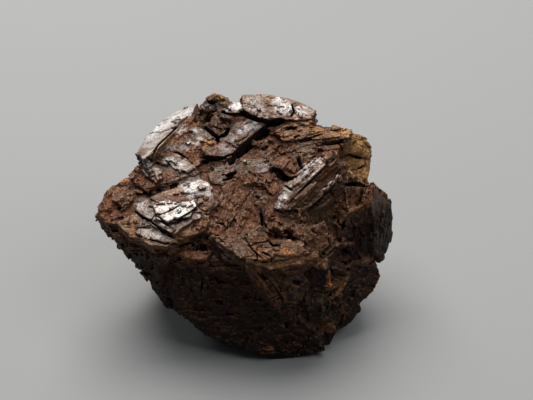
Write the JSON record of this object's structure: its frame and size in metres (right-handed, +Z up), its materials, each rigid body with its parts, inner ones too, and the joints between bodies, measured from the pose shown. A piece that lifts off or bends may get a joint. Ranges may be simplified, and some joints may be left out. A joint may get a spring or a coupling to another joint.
{
  "type": "limonite pseudomorph",
  "caption": "Natural cluster of intergrown platy limonite crystals with stepped cleavage ledges, an overhanging left side and one flat face to rest on.",
  "frame": {"origin": "middle of the stone's bounding box, on the plane that it rests on", "axes": "+X along the longest side, to the right as the stone is seen from the front; +Y to the back, where the top plateau is highest; +Z up"},
  "size_m": [0.0448, 0.0318, 0.0304],
  "materials": {
    "limonite": "rusty brown cleavage faces with a silvery sheen on the flattest sheets, tan and ochre in the cracks"
  },
  "bodies": {
    "root": {"limonite_pseudomorph": "limonite"}
  },
  "joints": []
}
